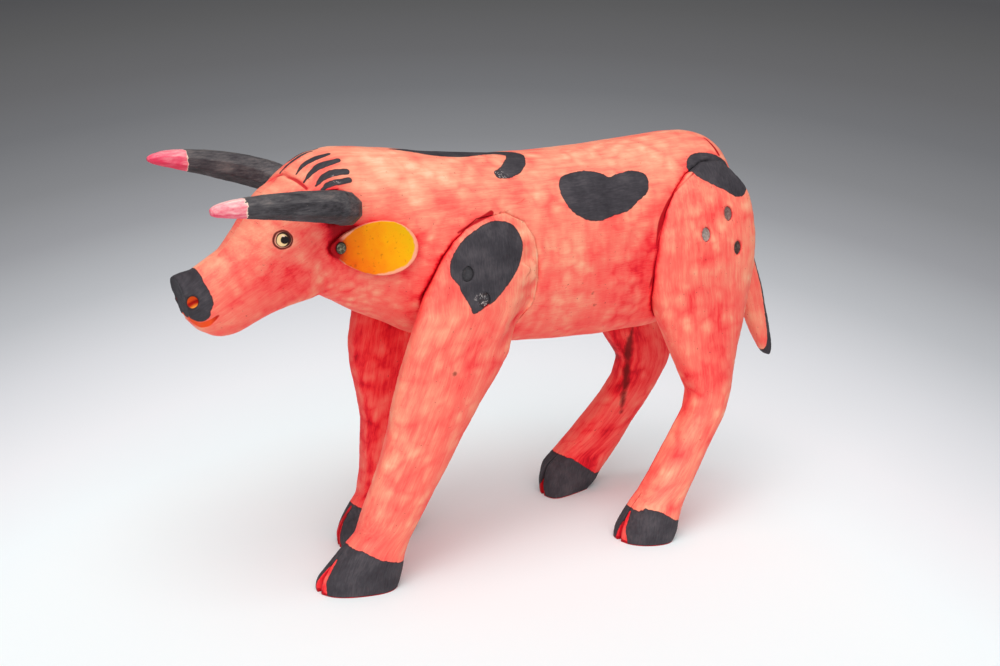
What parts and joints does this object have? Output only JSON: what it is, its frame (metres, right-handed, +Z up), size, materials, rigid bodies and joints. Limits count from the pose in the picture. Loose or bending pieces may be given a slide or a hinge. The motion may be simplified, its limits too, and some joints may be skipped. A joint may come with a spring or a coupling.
{
  "type": "carved wooden bull",
  "caption": "Standing folk-art bull carved in wood, with nailed-on legs, ears and tail, pegged horns, a red wash and black painted patches.",
  "frame": {"origin": "on the floor, under the middle of the figure's bounding box", "axes": "+Z up, -X towards the muzzle, +X towards the tail, -Y towards the bull's left side"},
  "size_m": [0.2854, 0.091, 0.1775],
  "materials": {
    "red_washed_wood": "light wood under a thin blotchy coral-red wash, matte, with matte charcoal patches",
    "ear_wood": "wood with a yellow-orange wash on the hollow face and a pink rim",
    "horn_wood": "knife-faceted wood painted matte charcoal, with pink tips",
    "peg_wood": "bare wood dowel",
    "nail_steel": "dull grey wire nail, stained by the wash",
    "painted_nail": "nail head painted over with the charcoal patch"
  },
  "bodies": {
    "root": {"body": "red_washed_wood", "front_left_leg": "red_washed_wood", "front_right_leg": "red_washed_wood", "hind_left_leg": "red_washed_wood", "hind_right_leg": "red_washed_wood", "tail": "red_washed_wood", "left_ear": "ear_wood", "right_ear": "ear_wood", "left_horn": "horn_wood", "right_horn": "horn_wood", "left_horn_peg": "peg_wood", "right_horn_peg": "peg_wood", "front_left_leg_nail_upper": "painted_nail", "front_left_leg_nail_lower": "nail_steel", "front_right_leg_nail_upper": "painted_nail", "front_right_leg_nail_lower": "nail_steel", "hind_left_leg_nail_front": "nail_steel", "hind_left_leg_nail_top": "nail_steel", "hind_left_leg_nail_rear": "nail_steel", "hind_right_leg_nail_front": "nail_steel", "hind_right_leg_nail_top": "nail_steel", "hind_right_leg_nail_rear": "nail_steel", "left_ear_nail": "nail_steel", "right_ear_nail": "nail_steel", "tail_nail": "nail_steel"}
  },
  "joints": []
}
